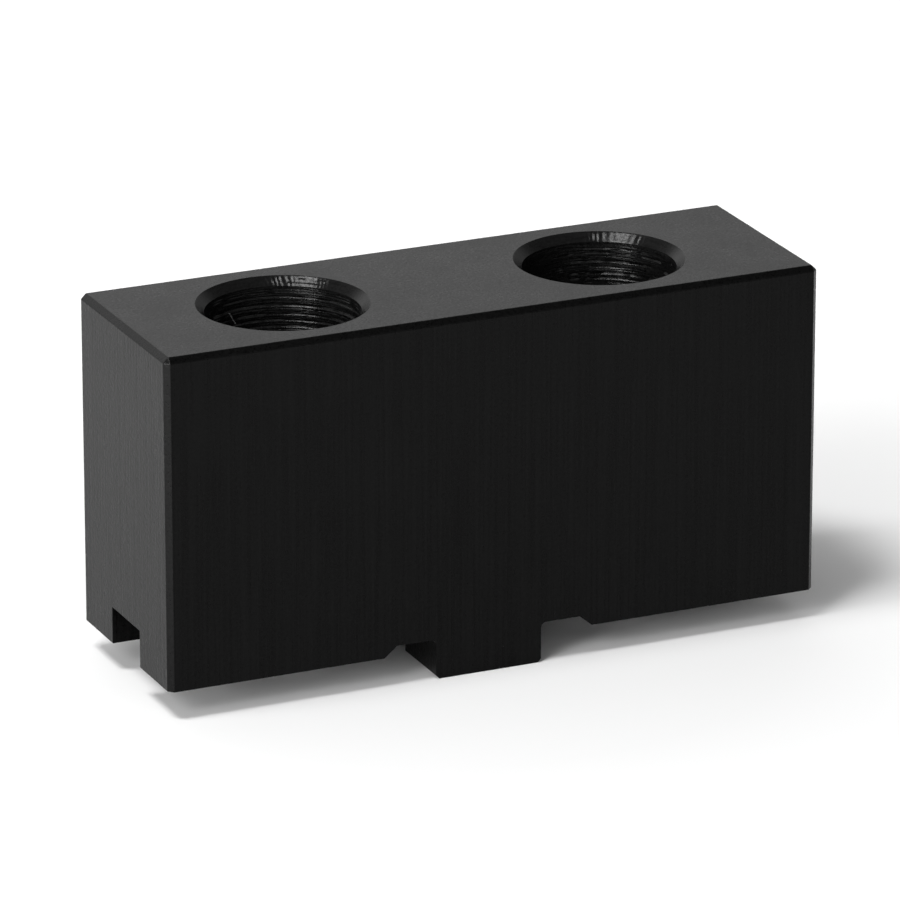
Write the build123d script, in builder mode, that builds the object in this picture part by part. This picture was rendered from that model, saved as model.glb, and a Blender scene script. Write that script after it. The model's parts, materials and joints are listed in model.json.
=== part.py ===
# Soft top jaw for a lathe chuck: one milled steel block with two counterbored screw holes,
# a cross tongue and a lengthwise groove underneath.
# The origin is midway between the screw holes, on the seat face. X runs along the jaw and Z points up.
import os

from build123d import *

# Block
grip_reach = 40.0  # from the screws' midpoint to the end that is bored to suit the work
tail_reach = 38.0  # from the screws' midpoint to the other end
body_width = 25.0
body_height = 38.2  # seat face to top face
edge_chamfer = 0.6  # broken edges round the top and down the corners

# Cap screw holes
screw_spacing = 38.1
screw_hole_diameter = 11.0
head_bore_diameter = 17.2
head_seat_height = 14.0  # metal left between the screw head and the seat face
mouth_chamfer = 1.0

# Cross tongue
tongue_width = 12.7
tongue_height = 3.4  # below the seat face
tongue_chamfer = 0.4

# Reliefs beside the tongue
relief_width = 6.2  # from the tongue's side to the seat face
relief_depth = 1.25
relief_run_out = 1.5  # length of the slope that leads back to the seat face
relief_corner_radius = 0.6

# Lengthwise groove
groove_width = 7.94
groove_depth = 4.3  # above the seat face

tongue_side = tongue_width / 2
relief_edge = tongue_side + relief_width
relief_floor_end = relief_edge - relief_run_out
body_length = grip_reach + tail_reach

with BuildPart() as soft_jaw:
    # Side profile of the block with its tongue and reliefs
    with BuildSketch(Plane.XZ) as side_profile:
        with BuildLine() as outline:
            Polyline(
                (-tail_reach, body_height),
                (-tail_reach, 0),
                (-relief_edge, 0),
                (-relief_floor_end, relief_depth),
                (-tongue_side, relief_depth),
                (-tongue_side, -tongue_height),
                (tongue_side, -tongue_height),
                (tongue_side, relief_depth),
                (relief_floor_end, relief_depth),
                (relief_edge, 0),
                (grip_reach, 0),
                (grip_reach, body_height),
                close=True,
            )
        make_face()
        tongue_tips = side_profile.vertices().group_by(Axis.Y)[0]
        chamfer(tongue_tips, length=tongue_chamfer)
        floor_corners = side_profile.vertices().group_by(Axis.Y)[-2]
        tongue_roots = floor_corners.sort_by(lambda corner: abs(corner.X))[:2]
        fillet(tongue_roots, radius=relief_corner_radius)
    extrude(amount=body_width / 2, both=True)

    # Groove for the chuck's rail, from end to end and through the tongue
    with BuildSketch(Plane.YZ) as groove_section:
        with Locations((0, -tongue_height)):
            Rectangle(
                groove_width,
                tongue_height + groove_depth,
                align=(Align.CENTER, Align.MIN),
            )
    extrude(amount=body_length, both=True, mode=Mode.SUBTRACT)

    # Broken edges, before the holes are bored
    corner_edges = soft_jaw.edges().filter_by(Axis.Z).group_by(SortBy.LENGTH)[-1]
    top_edges = soft_jaw.faces().sort_by(Axis.Z)[-1].edges()
    chamfer(corner_edges + top_edges, length=edge_chamfer)

    # Counterbored holes for the two cap screws
    with Locations((0, 0, body_height)):
        with GridLocations(screw_spacing, 0, 2, 1):
            CounterBoreHole(
                radius=screw_hole_diameter / 2,
                counter_bore_radius=head_bore_diameter / 2,
                counter_bore_depth=body_height - head_seat_height,
            )
    mouths = soft_jaw.faces().sort_by(Axis.Z)[-1].edges().filter_by(GeomType.CIRCLE)
    chamfer(mouths, length=mouth_chamfer)

os.makedirs("parts", exist_ok=True)
soft_jaw.part.label = "soft_jaw"
export_step(soft_jaw.part, "parts/soft_jaw.step")
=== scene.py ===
# Soft top jaw for a lathe chuck: a black oxide block with two counterbored screw holes, on a pale floor.
import json
import math
import random

import bmesh
import bpy
from mathutils import Matrix, Vector, noise


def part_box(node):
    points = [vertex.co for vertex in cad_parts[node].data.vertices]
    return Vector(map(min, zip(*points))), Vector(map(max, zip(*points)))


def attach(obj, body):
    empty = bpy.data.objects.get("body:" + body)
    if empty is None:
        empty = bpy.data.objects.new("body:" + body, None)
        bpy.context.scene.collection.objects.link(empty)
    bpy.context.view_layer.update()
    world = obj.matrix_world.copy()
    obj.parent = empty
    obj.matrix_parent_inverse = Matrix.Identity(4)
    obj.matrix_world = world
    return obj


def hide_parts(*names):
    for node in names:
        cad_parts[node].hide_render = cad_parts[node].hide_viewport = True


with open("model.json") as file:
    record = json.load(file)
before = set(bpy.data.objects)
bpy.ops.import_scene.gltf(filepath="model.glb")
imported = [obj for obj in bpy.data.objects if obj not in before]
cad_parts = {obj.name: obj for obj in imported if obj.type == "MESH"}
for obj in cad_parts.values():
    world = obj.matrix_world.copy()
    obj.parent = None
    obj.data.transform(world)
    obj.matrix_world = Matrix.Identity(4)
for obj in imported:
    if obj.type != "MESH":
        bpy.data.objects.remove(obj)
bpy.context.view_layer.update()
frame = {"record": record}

mm = 0.001
touching = 1e-6  # points this close, in metres, are one point
down = Vector((0, 0, -1))
jawLow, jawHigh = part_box("soft_jaw")
mounts = {mount["name"]: mount for mount in frame["record"]["mounts"]}
print("frame loaded")


class Wire:
    # a node's socket that can be used in a sum
    def __init__(self, sheet, socket):
        self.sheet = sheet
        self.socket = socket

    def maths(self, operation, other):
        return self.sheet.add("ShaderNodeMath", {"operation": operation}, {0: self, 1: other})

    def __add__(self, other):
        return self.maths("ADD", other)

    def __mul__(self, other):
        return self.maths("MULTIPLY", other)

    __radd__ = __add__
    __rmul__ = __mul__


class NodeSheet:
    # the node tree of one material or of the world, emptied first
    def __init__(self, tree):
        self.tree = tree
        tree.nodes.clear()

    def add(self, kind, settings=None, sockets=None, out=0):
        node = self.tree.nodes.new(kind)
        for name, value in (settings or {}).items():
            if name == "stops":
                self.setStops(node.color_ramp, value)
            else:
                setattr(node, name, value)
        for name, value in (sockets or {}).items():
            if isinstance(value, Wire):
                self.tree.links.new(value.socket, node.inputs[name])
            else:
                node.inputs[name].default_value = value
        return Wire(self, node.outputs[out] if len(node.outputs) else None)

    def setStops(self, ramp, stops):
        while len(ramp.elements) < len(stops):
            ramp.elements.new(1)
        for element, (place, colour) in zip(ramp.elements, stops):
            element.position = place
            element.color = colour


def grey(value):
    return (value, value, value, 1)


def newMaterial(name):
    material = bpy.data.materials.new(name)
    material.use_nodes = True
    return material, NodeSheet(material.node_tree)


def mixTones(sheet, share, first, second, blend="MIX"):
    # a Mix node's colours are its inputs 6 and 7 and its output 2
    settings = {"data_type": "RGBA", "blend_type": blend}
    return sheet.add("ShaderNodeMix", settings, {0: share, 6: first, 7: second}, out=2)


# Finishes. The lay is how fast the fine lines change along X, Y and Z, per metre, and the grain is
# how fast the mottle does. Depths are in metres. Shares are of lay, grain and cloud in the tone.
sideFinish = {
    "name": "groundSides",
    "lay": (3800, 3800, 50),
    "layDepth": 1.8e-5,
    "grain": 2800,
    "grainDepth": 2.4e-5,
    "shares": (0.5, 0.35, 0.15),
    "tones": (0.0001, 0.0030),
    "roughness": (0.24, 0.36),
    "ior": 1.18,
}
topFinish = {
    "name": "groundTop",
    "lay": (900, 3000, 3000),
    "layDepth": 6.0e-6,
    "grain": 3800,
    "grainDepth": 2.0e-5,
    "shares": (0.15, 0.65, 0.2),
    "tones": (0.0008, 0.0023),
    "roughness": (0.25, 0.37),
    "ior": 1.255,
}
mouthFinish = {
    "name": "boredMouths",
    "lay": (600, 600, 6000),
    "layDepth": 2.5e-6,
    "grain": 3600,
    "grainDepth": 9.0e-6,
    "shares": (0.4, 0.4, 0.2),
    "tones": (0.004, 0.009),
    "roughness": (0.16, 0.28),
    "ior": 1.21,
}
wallFinish = {
    "name": "boredWalls",
    "lay": (300, 300, 9000),
    "layDepth": 6.0e-5,
    "grain": 3600,
    "grainDepth": 1.0e-5,
    "shares": (0.4, 0.4, 0.2),
    "tones": (0.001, 0.005),
    "roughness": (0.21, 0.36),
    "ior": 1.36,
    # a scratch down the tail bore's wall, in mm
    "scratch": {
        "top": (-22.17, 8.03, 35.18),
        "bottom": (-21.12, 8.36, 33.32),
        "width": 0.07,
        "tone": 0.2,
    },
}
# What all finishes share. Each noise has a detail and a roughness.
mottle = {
    "layNoise": (3, 0.6),
    "grainNoise": (2, 0.55),
    "cloudNoise": (4, 0.6),
    "cloud": 160,  # how fast the cloud changes, per metre
    "band": (0.36, 0.64),  # what the mixed noises give from dark to pale
}


def noiseField(sheet, place, scale, kind):
    detail, roughness = kind
    return sheet.add(
        "ShaderNodeTexNoise",
        {},
        {"Vector": place, "Scale": scale, "Detail": detail, "Roughness": roughness},
    )


def mapRange(sheet, value, start, end):
    # 0 at the start, 1 at the end
    return sheet.add("ShaderNodeMapRange", {}, {"Value": value, "From Min": start, "From Max": end})


def scratchMask(sheet, place, scratch):
    # 1 along the line between two points, 0 away from it
    top = Vector(scratch["top"]) * mm
    run = Vector(scratch["bottom"]) * mm - top
    fromTop = sheet.add("ShaderNodeVectorMath", {"operation": "SUBTRACT"}, {0: place, 1: top})
    along = sheet.add(
        "ShaderNodeVectorMath",
        {"operation": "DOT_PRODUCT"},
        {0: fromTop, 1: run / run.length_squared},
        out=1,
    )
    along = sheet.add("ShaderNodeClamp", {}, {"Value": along})
    foot = sheet.add("ShaderNodeVectorMath", {"operation": "SCALE"}, {0: run, "Scale": along})
    away = sheet.add("ShaderNodeVectorMath", {"operation": "DISTANCE"}, {0: fromTop, 1: foot}, out=1)
    width = scratch["width"] * mm
    return mapRange(sheet, away, width, width / 2)


def blackOxide(finish):
    material, sheet = newMaterial(finish["name"])
    place = sheet.add("ShaderNodeTexCoord", out="Object")
    stretched = sheet.add("ShaderNodeVectorMath", {"operation": "MULTIPLY"}, {0: place, 1: finish["lay"]})
    lay = noiseField(sheet, stretched, 1, mottle["layNoise"])
    grain = noiseField(sheet, place, finish["grain"], mottle["grainNoise"])
    cloud = noiseField(sheet, place, mottle["cloud"], mottle["cloudNoise"])
    layShare, grainShare, cloudShare = finish["shares"]
    tone = mapRange(sheet, lay * layShare + grain * grainShare + cloud * cloudShare, *mottle["band"])
    darkTone, paleTone = finish["tones"]
    colour = mixTones(sheet, tone, grey(darkTone), grey(paleTone))
    if "scratch" in finish:
        bare = scratchMask(sheet, place, finish["scratch"])
        colour = mixTones(sheet, bare, colour, grey(finish["scratch"]["tone"]))
    smoothest, roughest = finish["roughness"]
    roughness = tone * (roughest - smoothest) + smoothest
    height = lay * finish["layDepth"] + grain * finish["grainDepth"]
    bump = sheet.add("ShaderNodeBump", {}, {"Strength": 1, "Distance": 1, "Height": height})
    steel = sheet.add(
        "ShaderNodeBsdfPrincipled",
        {},
        {"Base Color": colour, "Roughness": roughness, "IOR": finish["ior"], "Normal": bump},
    )
    sheet.add("ShaderNodeOutputMaterial", {}, {"Surface": steel})
    return material


jawFinishes = [blackOxide(finish) for finish in (sideFinish, topFinish, mouthFinish, wallFinish)]
sideSlot, topSlot, mouthSlot, wallSlot = range(len(jawFinishes))
print("finishes made:", len(jawFinishes))


def meshObject(name, bm):
    mesh = bpy.data.meshes.new(name)
    bm.to_mesh(mesh)
    bm.free()
    piece = bpy.data.objects.new(name, mesh)
    bpy.context.scene.collection.objects.link(piece)
    return piece


def bevelEdges(bm, edges, size, segments):
    bmesh.ops.bevel(
        bm,
        geom=edges,
        offset=size,
        offset_type="OFFSET",
        affect="EDGES",
        segments=segments,
        profile=0.5,
        material=-1,
        clamp_overlap=True,
    )


def carve(piece, cutter):
    # takes the cutter out of the piece and keeps the result as a plain mesh
    cut = piece.modifiers.new("carve", "BOOLEAN")
    cut.operation = "DIFFERENCE"
    cut.solver = "EXACT"
    cut.material_mode = "INDEX"
    cut.object = cutter
    view = bpy.context.evaluated_depsgraph_get()
    carved = bpy.data.meshes.new_from_object(piece.evaluated_get(view))
    piece.modifiers.clear()
    spare = piece.data
    piece.data = carved
    bpy.data.meshes.remove(spare)
    spare = cutter.data
    bpy.data.objects.remove(cutter)
    bpy.data.meshes.remove(spare)


# The block, its cross tongue with a relief each side, and its groove. Lengths in mm, angles in degrees.
jaw = {
    "tongueWidth": 12.7,
    "tongueTip": 0.4,
    "reliefWidth": 6.2,
    "reliefDepth": 1.25,
    "reliefRunOut": 1.5,
    "reliefCorner": 0.6,
    "cornerSegments": 5,
    "grooveWidth": 7.94,
    "grooveDepth": 4.3,
    "grooveDrop": 2,  # how far the groove's cutter hangs below the tongue
    "grooveReach": 1.5,  # length of that cutter as a share of the jaw's
    "edgeChamfer": 0.6,
    "edgeSoftness": 0.07,
    "softSegments": 2,
    "crispAngle": 30,  # edges that turn more than this are softened
    "sharpAngle": 12,  # edges that turn more than this are shaded sharp
    "squareOn": 0.9,  # a face points along an axis when that part of its normal is larger
}


def near(a, b):
    return abs(a - b) < touching


def jawBlock():
    tongue = jaw["tongueWidth"] / 2 * mm
    reliefEdge = tongue + jaw["reliefWidth"] * mm
    reliefFloor = reliefEdge - jaw["reliefRunOut"] * mm
    reliefTop = jaw["reliefDepth"] * mm
    underside = [
        (-reliefEdge, 0),
        (-reliefFloor, reliefTop),
        (-tongue, reliefTop),
        (-tongue, jawLow.z),
    ]
    outline = [(jawLow.x, jawHigh.z), (jawLow.x, 0), *underside]
    outline += [(-x, z) for x, z in reversed(underside)]
    outline += [(jawHigh.x, 0), (jawHigh.x, jawHigh.z)]
    bm = bmesh.new()
    side = bm.faces.new([bm.verts.new((x, jawLow.y, z)) for x, z in outline])
    swept = bmesh.ops.extrude_face_region(bm, geom=[side])["geom"]
    moved = [part for part in swept if isinstance(part, bmesh.types.BMVert)]
    bmesh.ops.translate(bm, verts=moved, vec=(0, jawHigh.y - jawLow.y, 0))
    bmesh.ops.recalc_face_normals(bm, faces=bm.faces)

    def crossEdges(test):
        return [
            edge
            for edge in bm.edges
            if near(edge.verts[0].co.x, edge.verts[1].co.x)
            and near(edge.verts[0].co.z, edge.verts[1].co.z)
            and test(edge.verts[0].co)
        ]

    roots = crossEdges(lambda co: near(abs(co.x), tongue) and near(co.z, reliefTop))
    bevelEdges(bm, roots, jaw["reliefCorner"] * mm, jaw["cornerSegments"])
    tips = crossEdges(lambda co: near(co.z, jawLow.z))
    bevelEdges(bm, tips, jaw["tongueTip"] * mm, 1)
    rims = [
        edge
        for edge in bm.edges
        if all(near(vert.co.z, jawHigh.z) for vert in edge.verts)
        or near(edge.calc_length(), jawHigh.z)
    ]
    bevelEdges(bm, rims, jaw["edgeChamfer"] * mm, 1)
    return meshObject("softJaw", bm)


def grooveCutter():
    bm = bmesh.new()
    bmesh.ops.create_cube(bm, size=1)
    top, bottom = jaw["grooveDepth"] * mm, jawLow.z - jaw["grooveDrop"] * mm
    length = (jawHigh.x - jawLow.x) * jaw["grooveReach"]
    bmesh.ops.scale(bm, verts=bm.verts, vec=(length, jaw["grooveWidth"] * mm, top - bottom))
    bmesh.ops.translate(bm, verts=bm.verts, vec=(0, 0, (top + bottom) / 2))
    return meshObject("grooveCutter", bm)


def softenEdges(piece):
    bm = bmesh.new()
    bm.from_mesh(piece.data)
    bmesh.ops.remove_doubles(bm, verts=bm.verts, dist=touching)
    least = math.radians(jaw["crispAngle"])
    crisp = [edge for edge in bm.edges if edge.is_manifold and edge.calc_face_angle() > least]
    bevelEdges(bm, crisp, jaw["edgeSoftness"] * mm, jaw["softSegments"])
    bm.to_mesh(piece.data)
    bm.free()


softJaw = jawBlock()
carve(softJaw, grooveCutter())
softenEdges(softJaw)
print("block made:", len(softJaw.data.polygons), "faces")

# Counterbored screw holes. Lengths in mm, heights from the seat face, angles in degrees from +X.
# The marked rings, each a height and a depth, are the tool marks that show most.
tailBore = {
    "mount": "tail_head_bore",
    "seed": 11,
    "markedRings": [(36.05, 0.24), (35.15, 0.32), (34.1, 0.25), (33.38, 0.25), (32.65, 0.24)],
    "ringPitch": (0.2, 0.34),
    "ringDepth": (0.05, 0.11),
    "broken": 0.6,
    "markedBroken": 0.4,
    "runOut": 0.9,
    "chatter": {
        "count": 104,
        "wave": 0.014,
        "calm": 0.3,
        "slant": -0.045,
        "centre": 58,
        "reach": 28,
        "grooves": (0.37, 0.74),
    },
}
gripBore = {
    "mount": "grip_head_bore",
    "seed": 29,
    "markedRings": [(36.55, 0.22), (36.0, 0.22), (35.05, 0.28), (34.35, 0.2), (33.65, 0.26), (33.05, 0.24)],
    "ringPitch": (0.2, 0.32),
    "ringDepth": (0.05, 0.1),
    "broken": 1.1,
    "markedBroken": 0.9,
    "runOut": 2.8,
    "chatter": {
        "count": 84,
        "wave": 0.012,
        "calm": 0.35,
        "slant": 0.0,
        "centre": 54,
        "reach": 26,
        "grooves": (),
    },
}
# What both bores share
boring = {
    "steps": 460,
    "tip": 1.0,  # how far the cutter stands above the jaw
    "flare": (1.0, 0.7),  # out and up from the mouth's rim, clear of the jaw
    "seatChamfer": 0.3,  # where the screw's hole starts
    "slack": 0.03,  # for telling mouth, wall and seat apart
    "deepestAt": 50,  # the side where the tool cut deepest
    "firstRing": 0.35,  # below the lip
    "lastRing": 0.6,  # above the seat
    "ringGap": 0.03,
    "ringFlanks": (0.5, 0.85),  # a ring's edges above and below its bottom, as shares of its depth
    "fineMarksTo": 31.5,  # below this height the marks are wider apart
    "widerApart": 4,  # times
    "patches": 6,  # how fast a broken ring comes and goes, round the wall
    "patchRise": 1.7,  # and from ring to ring
    "patchShare": (0.5, 1.4),  # how much of its depth a gap takes, and its swing
    "runOutOver": (10, 120),  # angles from the deepest side
}
mouth = {
    "chamfer": 1.0,
    "rimSoftness": 0.07,
    "rimDrop": 0.05,
    "lipSoftness": 0.07,
    "bands": 12,
    "drift": (4, 6),  # how much and how fast the chatter's spacing wanders
    "ripple": (0.5, 25),  # size, as a share of the wave, and pace of the finer marks
    "rippleRise": 2,  # how fast they change across the chamfer
    "grooveCut": (2, 9),  # size and pace of the rings scored round the chamfer
    "grooveWidth": 0.045,  # half of it, as a share of the chamfer
    "grooveShare": 0.5,
    "calmOver": (8, 14),  # angles from the deepest side
    "runIn": 5,  # how fast the chatter starts at the rim and the lip
    "fadeFrom": 0.6,  # share of its reach where the chatter starts to fade
    "fadeBy": 0.95,
}


def rise(value, start, end):
    # 0 up to the start, 1 from the end on
    return min(max((value - start) / (end - start), 0), 1)


def degreesFrom(turn, side):
    angle = math.radians(side)
    return math.degrees(turn.angle(Vector((math.cos(angle), math.sin(angle), 0))))


def toolRings(bore, lip, seat):
    draw = random.Random(bore["seed"])
    rings = dict(bore["markedRings"])
    height = lip - boring["firstRing"]
    while height > seat + boring["lastRing"]:
        deep = draw.uniform(*bore["ringDepth"])
        if all(abs(height - other) > deep + rings[other] + boring["ringGap"] for other in rings):
            rings[round(height, 3)] = deep
        spread = 1 if height > boring["fineMarksTo"] else boring["widerApart"]
        height -= draw.uniform(*bore["ringPitch"]) * spread
    return rings


def wallRows(rings):
    # heights of the wall's points: each ring's upper edge, bottom and lower edge
    above, below = boring["ringFlanks"]
    rows = []
    for height, deep in rings.items():
        rows += [height + deep * above, height, height - deep * below]
    return sorted(rows, reverse=True)


def boreProfile(rows, wall, screw, lip, seat):
    # radius and height in mm, from the axis above the jaw to the axis below it
    top, bottom = jawHigh.z / mm, jawLow.z / mm
    chamfer, drop = mouth["chamfer"], mouth["rimDrop"]
    outward, upward = boring["flare"]
    profile = [(0, top + boring["tip"]), (wall + chamfer + outward, top + upward), (wall + chamfer, top)]
    for band in range(mouth["bands"] + 1):
        share = band / mouth["bands"]
        radius = wall + (chamfer - mouth["rimSoftness"]) * (1 - share)
        profile.append((radius, top - drop - (chamfer - drop - mouth["lipSoftness"]) * share))
    profile.append((wall, lip - mouth["lipSoftness"]))
    profile += [(wall, height) for height in rows]
    broken = boring["seatChamfer"]
    profile += [(wall, seat), (screw + broken, seat), (screw, seat - broken), (screw, bottom), (0, bottom)]
    return profile


def spinProfile(profile, centre):
    bm = bmesh.new()
    points = [bm.verts.new((centre.x + radius * mm, centre.y, height * mm)) for radius, height in profile]
    lines = [bm.edges.new(pair) for pair in zip(points, points[1:])]
    bmesh.ops.spin(
        bm,
        geom=points + lines,
        cent=(centre.x, centre.y, 0),
        axis=(0, 0, 1),
        dvec=(0, 0, 0),
        angle=math.tau,
        steps=boring["steps"],
        use_merge=True,
        use_normal_flip=False,
        use_duplicate=False,
    )
    bmesh.ops.remove_doubles(bm, verts=bm.verts, dist=touching)
    bmesh.ops.recalc_face_normals(bm, faces=bm.faces)
    return bm


def chatterDepth(bore, turn, across):
    # how deep the shaking tool cut the mouth's chamfer, in mm; across is 0 at the lip and 1 at the rim
    chatter, seed = bore["chatter"], bore["seed"]
    wave, reach = chatter["wave"], chatter["reach"]
    fromDeepest = degreesFrom(turn, boring["deepestAt"])
    calm = chatter["calm"] + (1 - chatter["calm"]) * rise(fromDeepest, *mouth["calmOver"])
    size, pace = mouth["drift"]
    angle = math.atan2(turn.y, turn.x) + chatter["slant"] * across
    deep = wave * calm * math.sin(angle * chatter["count"] + size * noise.noise(turn * pace + down * seed))
    size, pace = mouth["ripple"]
    deep += wave * size * noise.noise(turn * pace + down * (seed + mouth["rippleRise"] * across))
    onGroove = any(abs(across - groove) < mouth["grooveWidth"] for groove in chatter["grooves"])
    if onGroove and fromDeepest < mouth["calmOver"][1]:
        size, pace = mouth["grooveCut"]
        deep += wave * size * max(0, mouth["grooveShare"] + noise.noise(turn * pace + down * seed * across))
    fromCentre = degreesFrom(turn, chatter["centre"])
    fade = 1 - mouth["fadeBy"] * rise(fromCentre, reach * mouth["fadeFrom"], reach)
    taper = min(1, mouth["runIn"] * across, mouth["runIn"] * (1 - across))
    return deep * fade * taper


def ringShare(bore, turn, height):
    # how much of its full depth a ring has here
    marked = height in dict(bore["markedRings"])
    middle, swing = boring["patchShare"]
    spot = turn * boring["patches"] - down * (height * boring["patchRise"] + bore["seed"])
    gap = bore["markedBroken" if marked else "broken"] * (middle + swing * noise.noise(spot))
    runOut = bore["runOut"] * rise(degreesFrom(turn, boring["deepestAt"]), *boring["runOutOver"])
    return rise(1 - gap - runOut, 0, 1)


def boreCutter(bore):
    mount = mounts[bore["mount"]]
    centre = Vector(mount["pos_m"])
    wall = mount["dims"]["r_mm"]
    seat = centre.z / mm - mount["dims"]["length_mm"] / 2
    lip = centre.z / mm + mount["dims"]["length_mm"] / 2
    screw = mounts["screw_holes"]["dims"]["hole_r_mm"]
    rings = toolRings(bore, lip, seat)
    bm = spinProfile(boreProfile(wallRows(rings), wall, screw, lip, seat), centre)

    # chatter across the mouth's chamfer, rings cut into the wall
    slack = boring["slack"]
    for vert in bm.verts:
        away = Vector((vert.co.x - centre.x, vert.co.y - centre.y, 0))
        height = round(vert.co.z / mm, 3)
        if away.length / mm < wall - slack or height > jawHigh.z / mm - slack:
            continue
        turn = away.normalized()
        if height > lip + slack:
            vert.co += (turn + down) * chatterDepth(bore, turn, (height - lip) / mouth["chamfer"]) * mm
        elif height in rings:
            vert.co += turn * rings[height] * ringShare(bore, turn, height) * mm
    for face in bm.faces:
        face.smooth = True
        face.material_index = mouthSlot if face.calc_center_median().z / mm > lip - slack else wallSlot
    return meshObject("boreCutter", bm)


for finish in jawFinishes:
    softJaw.data.materials.append(finish)
for bore in (tailBore, gripBore):
    cutter = boreCutter(bore)
    for finish in jawFinishes:
        cutter.data.materials.append(finish)
    carve(softJaw, cutter)
    print("bored:", bore["mount"])

# the top and the broken edges take the top's finish, and only the bores are shaded smooth
for face in softJaw.data.polygons:
    oblique = max(abs(part) for part in face.normal) < jaw["squareOn"]
    if face.material_index == sideSlot and (oblique or face.normal.z > jaw["squareOn"]):
        face.material_index = topSlot
softJaw.data.set_sharp_from_angle(angle=math.radians(jaw["sharpAngle"]))
for face in softJaw.data.polygons:
    face.use_smooth = face.material_index in (mouthSlot, wallSlot)
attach(softJaw, "root")
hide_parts("soft_jaw")
print("jaw made:", len(softJaw.data.polygons), "faces")

# Pale floor under the tongue, in metres. Away from the jaw it glows a little, so that it stays white. Near
# the jaw the glow is left out, which paints shade round the jaw on top of its real shadow. The camera and
# the jaw's reflections see that painted shade.
floorLook = {"reach": 3.0, "colour": 0.9, "lift": 0.2, "liftFrom": 0.04, "liftTo": 0.12}


def paleFloor():
    bm = bmesh.new()
    bmesh.ops.create_grid(bm, x_segments=1, y_segments=1, size=floorLook["reach"])
    bmesh.ops.translate(bm, verts=bm.verts, vec=(0, 0, jawLow.z))
    piece = meshObject("paleFloor", bm)
    material, sheet = newMaterial("palePaper")
    paper = sheet.add("ShaderNodeBsdfDiffuse", {}, {"Color": grey(floorLook["colour"])})
    place = sheet.add("ShaderNodeTexCoord", out="Object")
    away = sheet.add("ShaderNodeVectorMath", {"operation": "LENGTH"}, {0: place}, out=1)
    # painted shade: no glow within liftFrom of the jaw, rising to the full glow at liftTo
    outward = mapRange(sheet, away, floorLook["liftFrom"], floorLook["liftTo"])
    lift = mixTones(sheet, outward, grey(0), grey(floorLook["lift"]))
    glow = sheet.add("ShaderNodeEmission", {}, {"Color": lift, "Strength": 1})
    white = sheet.add("ShaderNodeAddShader", {}, {0: paper, 1: glow})
    camera = sheet.add("ShaderNodeLightPath", out="Is Camera Ray")
    glossy = sheet.add("ShaderNodeLightPath", out="Is Glossy Ray")
    through = sheet.add("ShaderNodeLightPath", out="Is Transmission Ray")
    seen = sheet.add("ShaderNodeMixShader", {}, {0: camera + glossy + through, 1: paper, 2: white})
    sheet.add("ShaderNodeOutputMaterial", {}, {"Surface": seen})
    piece.data.materials.append(material)


paleFloor()
print("floor made")

# Soft studio light: pale walls, dimmer to the right, under a dark ceiling. A softbox and a strip hang
# above, and two cards stand at the left. Lengths in metres, rolls in degrees. A lamp's glow is how
# bright it looks, whatever its size.
studio = {
    "strength": 1.23,
    # how pale the walls are, by height
    "walls": [
        (0.0, 0.3),
        (0.1, 0.33),
        (0.18, 0.57),
        (0.28, 1.0),
        (0.4, 1.0),
        (0.52, 0.3),
        (0.8, 0.09),
        (1.0, 0.07),
    ],
    # and by how far to the right, from 0 to 1
    "rightSide": [(0.65, 1.0), (0.9, 0.35)],
    "lamps": {
        "skyBox": {
            "from": (0.1, 0.4, 0.91),
            "distance": 1.0,
            "size": (0.8, 0.8),
            "roll": 0,
            "glow": 0.5,
        },
        "overheadStrip": {
            "from": (-0.372, -0.08, 0.925),
            "distance": 1.2,
            "size": (0.46, 0.19),
            "roll": 26.6,
            "glow": 34.0,
        },
        "frontCard": {
            "from": (-0.68, -0.47, 0.56),
            "distance": 1.0,
            "size": (0.3, 0.3),
            "roll": 0,
            "glow": 9.0,
        },
        "leftCard": {
            "from": (-0.86, -0.39, 0.12),
            "distance": 0.45,
            "size": (0.14, 0.14),
            "roll": 0,
            "glow": 15.0,
        },
    },
}


def toneRamp(sheet, value, tones):
    stops = [(place, grey(tone)) for place, tone in tones]
    return sheet.add("ShaderNodeValToRGB", {"stops": stops}, {"Fac": value})


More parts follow.
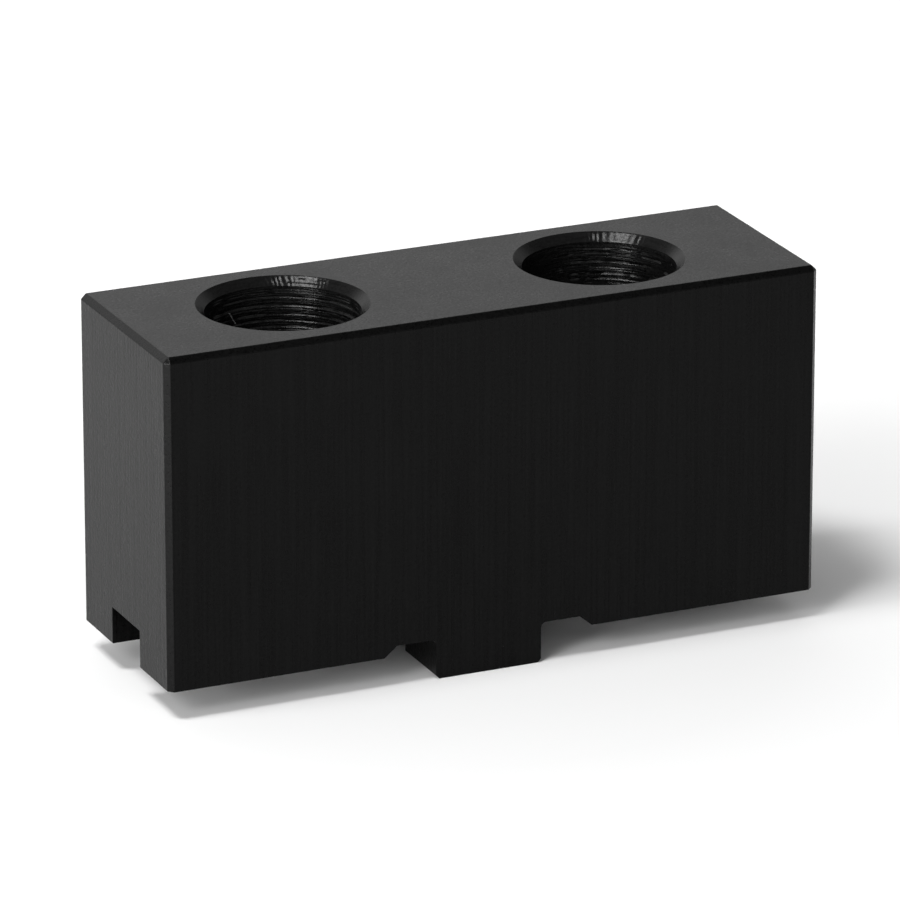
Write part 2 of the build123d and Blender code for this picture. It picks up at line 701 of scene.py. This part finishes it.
def studioLight():
    world = bpy.data.worlds.new("studio")
    world.use_nodes = True
    bpy.context.scene.world = world
    sheet = NodeSheet(world.node_tree)
    direction = sheet.add("ShaderNodeTexCoord", out="Generated")
    upward = sheet.add("ShaderNodeSeparateXYZ", {}, {"Vector": direction}, out="Z")
    rightward = sheet.add("ShaderNodeSeparateXYZ", {}, {"Vector": direction}, out="X")
    walls = toneRamp(sheet, upward, studio["walls"])
    shade = toneRamp(sheet, rightward * 0.5 + 0.5, studio["rightSide"])
    colour = mixTones(sheet, 1, walls, shade, "MULTIPLY")
    surround = sheet.add("ShaderNodeBackground", {}, {"Color": colour, "Strength": studio["strength"]})
    sheet.add("ShaderNodeOutputWorld", {}, {"Surface": surround})
    middle = (jawLow + jawHigh) / 2
    for name, box in studio["lamps"].items():
        lamp = bpy.data.lights.new(name, "AREA")
        lamp.shape = "RECTANGLE"
        lamp.size, lamp.size_y = box["size"]
        lamp.energy = box["glow"] * math.pi * lamp.size * lamp.size_y
        holder = bpy.data.objects.new(name, lamp)
        away = Vector(box["from"]).normalized()
        holder.location = middle + away * box["distance"]
        roll = Matrix.Rotation(math.radians(box["roll"]), 3, "Z")
        holder.rotation_euler = (away.to_track_quat("Z", "Y").to_matrix() @ roll).to_euler()
        bpy.context.scene.collection.objects.link(holder)


studioLight()
print("lights made:", len(studio["lamps"]))

# Long lens from the front left, a little above the jaw. Place in metres, lens and sensor in mm,
# angles in degrees.
shot = {
    "place": (-0.325191, -0.725305, 0.302293),
    "turn": 24.2089,
    "tilt": 19.6563,
    "lens": 304.8,
    "sensor": 36,
    "clipFrom": 0.05,
}


def photoCamera():
    lens = bpy.data.cameras.new("photoCamera")
    lens.lens = shot["lens"]
    lens.sensor_width = shot["sensor"]
    lens.clip_start = shot["clipFrom"]
    holder = bpy.data.objects.new("photoCamera", lens)
    turn, tilt = math.radians(shot["turn"]), math.radians(shot["tilt"])
    ahead = Vector((math.sin(turn) * math.cos(tilt), math.cos(turn) * math.cos(tilt), -math.sin(tilt)))
    holder.location = shot["place"]
    holder.rotation_euler = ahead.to_track_quat("-Z", "Y").to_euler()
    bpy.context.scene.collection.objects.link(holder)
    bpy.context.scene.camera = holder


photoCamera()
bpy.context.scene.view_settings.view_transform = "Standard"
print("camera set")
